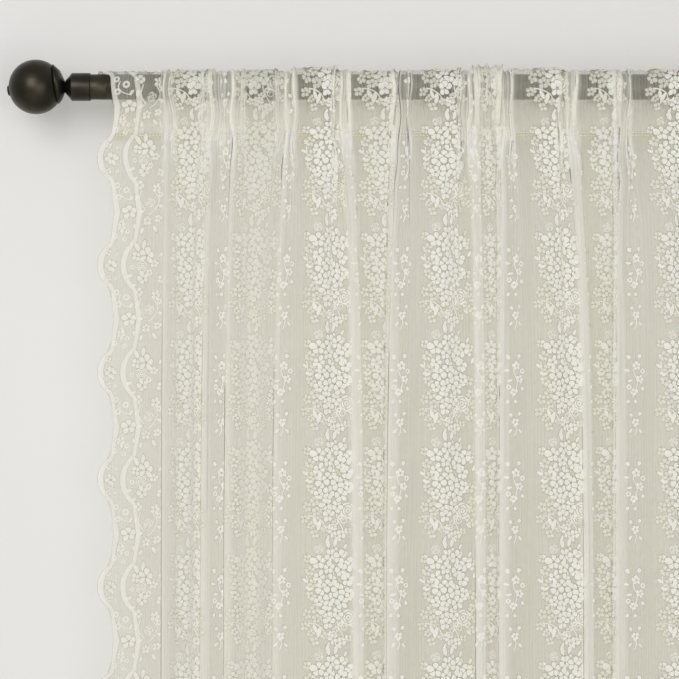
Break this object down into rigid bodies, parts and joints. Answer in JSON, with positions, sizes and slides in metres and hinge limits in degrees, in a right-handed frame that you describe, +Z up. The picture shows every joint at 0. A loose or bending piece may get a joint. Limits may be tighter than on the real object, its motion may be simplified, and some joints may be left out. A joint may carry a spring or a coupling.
{
  "type": "lace curtain on a rod",
  "caption": "Sheer lace curtain panel with scalloped side edges and floral motifs, gathered by its rod pocket on a dark metal curtain rod with ball finials.",
  "frame": {"origin": "on the rod's axis, halfway along the rod", "axes": "+X along the rod, +Z up, -Y towards the room"},
  "size_m": [0.963, 0.0548, 1.6101],
  "materials": {
    "lace": "sheer off-white knitted lace with denser floral motifs, matte",
    "rod_metal": "satin black-bronze coating",
    "finial_metal": "satin black-bronze coating"
  },
  "bodies": {
    "root": {"curtain_panel": "lace", "rod": "rod_metal", "collar_left": "finial_metal", "cup_left": "finial_metal", "ball_left": "finial_metal", "button_left": "finial_metal", "collar_right": "finial_metal", "cup_right": "finial_metal", "ball_right": "finial_metal", "button_right": "finial_metal"}
  },
  "joints": []
}
